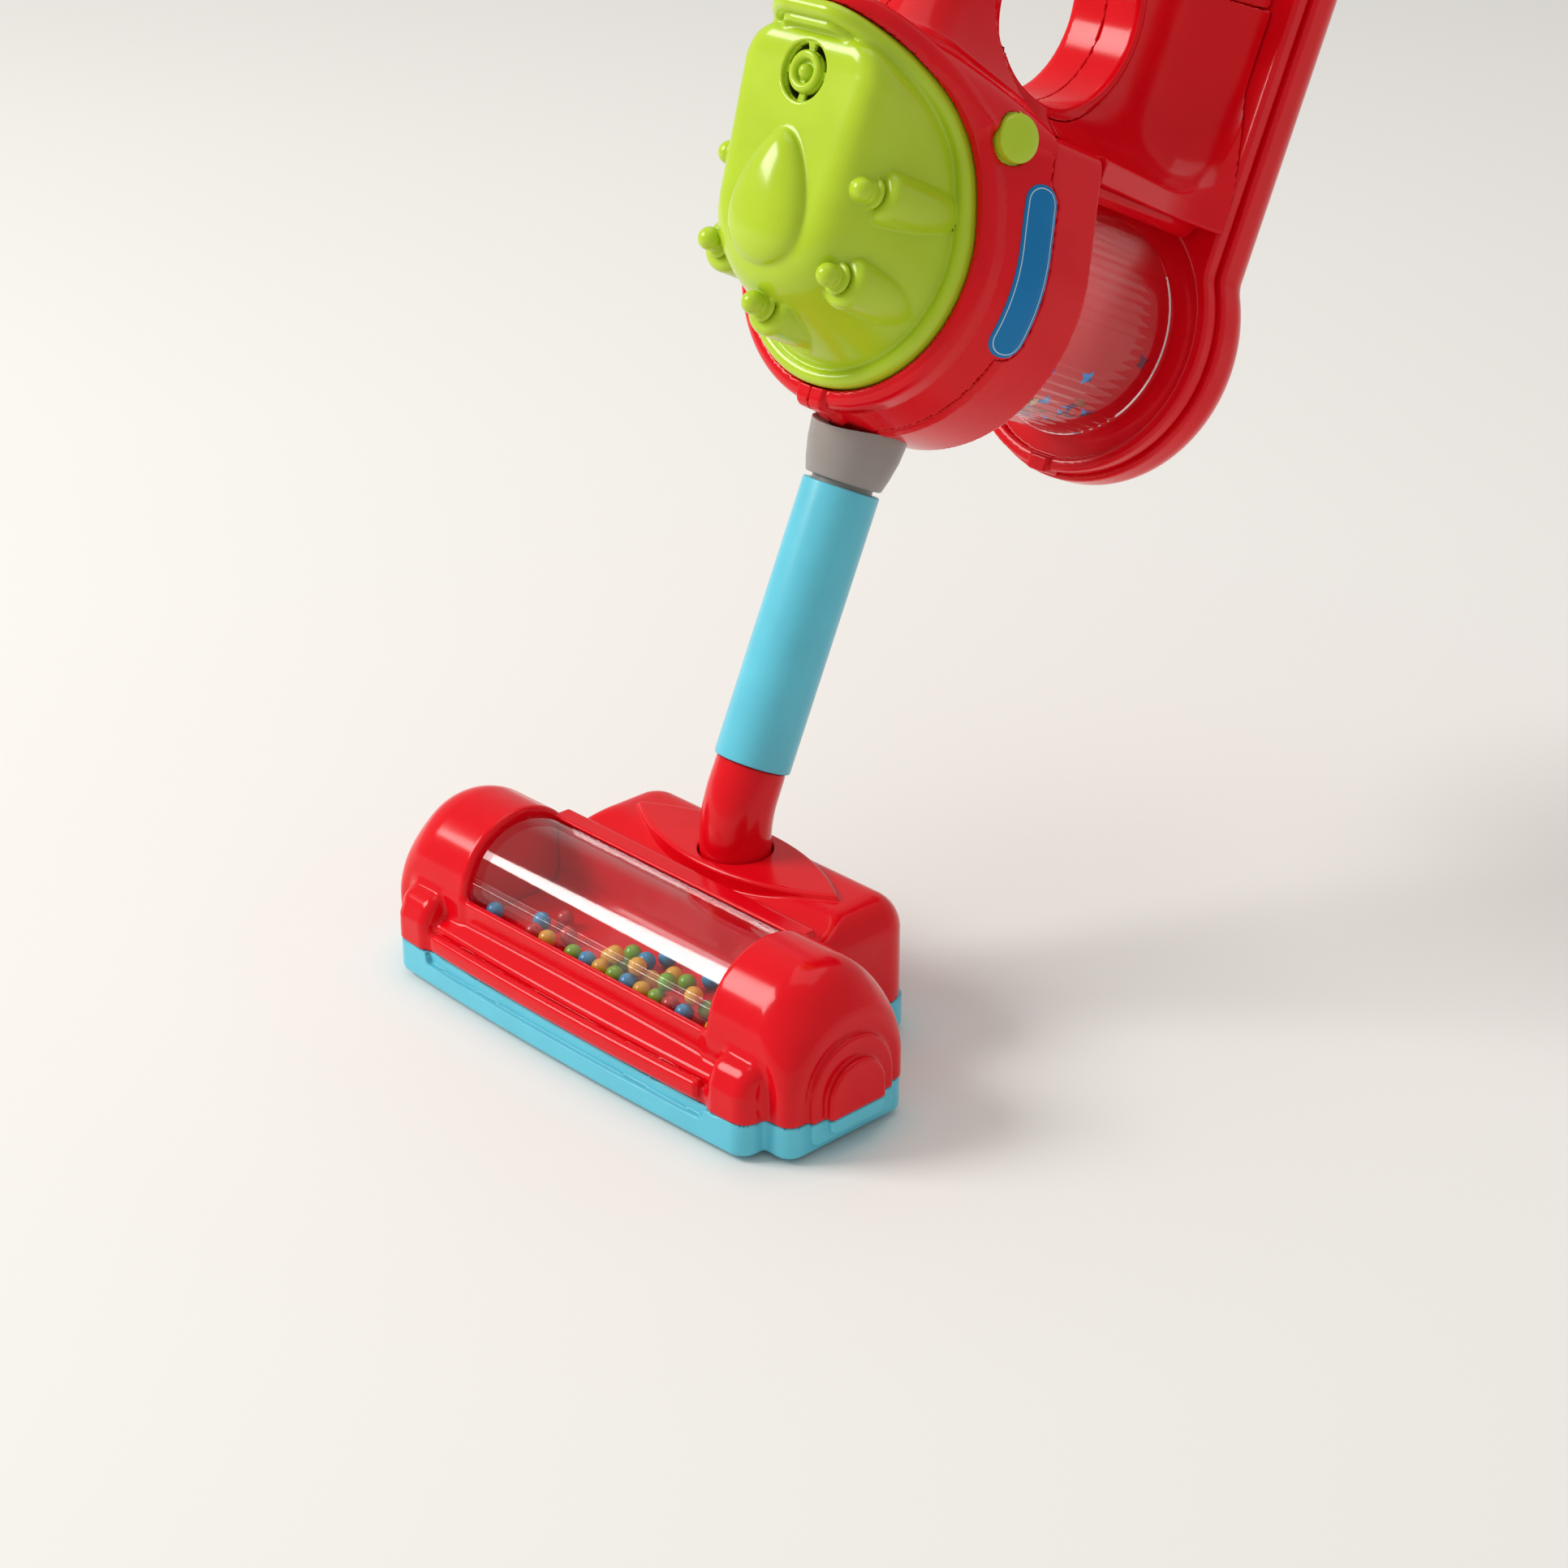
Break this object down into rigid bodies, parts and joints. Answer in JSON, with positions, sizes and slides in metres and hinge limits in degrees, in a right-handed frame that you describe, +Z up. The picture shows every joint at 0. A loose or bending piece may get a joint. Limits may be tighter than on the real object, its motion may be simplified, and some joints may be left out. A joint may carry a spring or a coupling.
{
  "type": "toy vacuum cleaner",
  "caption": "Upright toy vacuum cleaner: wheeled floor head with a bead window, leaning tube on a swivel neck, and a hand unit with a coned cover, side button, clear drum and loop handle.",
  "frame": {"origin": "on the flat underside of the base, straight below the swivel of the neck; the wheels stand 1.5 mm lower", "axes": "+X along the floor head towards the side with the button, +Y from the front of the head to its back, +Z up"},
  "size_m": [0.196, 0.3156, 0.3538],
  "materials": {
    "red": "glossy",
    "sky": "satin",
    "lime": "glossy",
    "grey": "satin",
    "clear": "clear",
    "label": "plain label",
    "bead_red": "glossy",
    "bead_yellow": "glossy",
    "bead_blue": "glossy",
    "bead_green": "glossy",
    "foil_blue": "foil",
    "foil_gold": "foil",
    "foil_purple": "foil",
    "steel": "bright",
    "dark": "black",
    "board": "circuit board",
    "white": "white"
  },
  "bodies": {
    "floor_head": {"base_tray": "sky", "head_shell": "red", "window": "clear", "bead_tray": "red", "beads_red": "bead_red", "beads_yellow": "bead_yellow", "beads_blue": "bead_blue", "beads_green": "bead_green", "front_axle": "steel", "rear_axle": "steel", "swivel_bearing": "grey", "base_screws": "steel"},
    "hand_unit": {"neck": "red", "wand_tube": "sky", "collar": "grey", "left_housing": "red", "right_housing": "red", "rear_housing": "red", "front_cover": "lime", "speaker": "dark", "circuit_board": "board", "switch": "dark", "side_label": "label", "motor": "steel", "drum": "clear", "confetti_blue": "foil_blue", "confetti_gold": "foil_gold", "confetti_purple": "foil_purple", "bridge": "red", "rear_panel": "red", "back_cover": "red", "battery_door": "red", "batteries": "dark", "battery_contacts": "steel", "door_screw": "steel", "housing_screws": "steel"},
    "front_left_wheel": {"front_left_wheel": "sky"},
    "front_right_wheel": {"front_right_wheel": "sky"},
    "rear_left_wheel": {"rear_left_wheel": "sky"},
    "rear_right_wheel": {"rear_right_wheel": "sky"},
    "side_button": {"side_button": "lime"},
    "fan": {"fan": "white", "motor_shaft": "steel"}
  },
  "joints": [
    {"name": "neck_swivel", "type": "hinge", "parent": "floor_head", "child": "hand_unit", "pos_m": [0, 0, 0.03], "axis": [0, 0, 1], "range_deg": [-45, 45]},
    {"name": "front_left_wheel_spin", "type": "hinge", "parent": "floor_head", "child": "front_left_wheel", "pos_m": [-0.0874, -0.05123, 0.0055], "axis": [1, 0, 0], "continuous": true},
    {"name": "front_right_wheel_spin", "type": "hinge", "parent": "floor_head", "child": "front_right_wheel", "pos_m": [0.0874, -0.05123, 0.0055], "axis": [1, 0, 0], "continuous": true},
    {"name": "rear_left_wheel_spin", "type": "hinge", "parent": "floor_head", "child": "rear_left_wheel", "pos_m": [-0.0471, 0.0104, 0.0055], "axis": [1, 0, 0], "continuous": true},
    {"name": "rear_right_wheel_spin", "type": "hinge", "parent": "floor_head", "child": "rear_right_wheel", "pos_m": [0.0471, 0.0104, 0.0055], "axis": [1, 0, 0], "continuous": true},
    {"name": "button_press", "type": "slide", "parent": "hand_unit", "child": "side_button", "axis": [-0.9633, 0.1122, -0.2439], "range_m": [0, 0.002], "stiffness_N_per_m": 400},
    {"name": "fan_spin", "type": "hinge", "parent": "hand_unit", "child": "fan", "pos_m": [0, 0.07607, 0.22234], "axis": [0, 0.9063, -0.4226], "continuous": true}
  ]
}
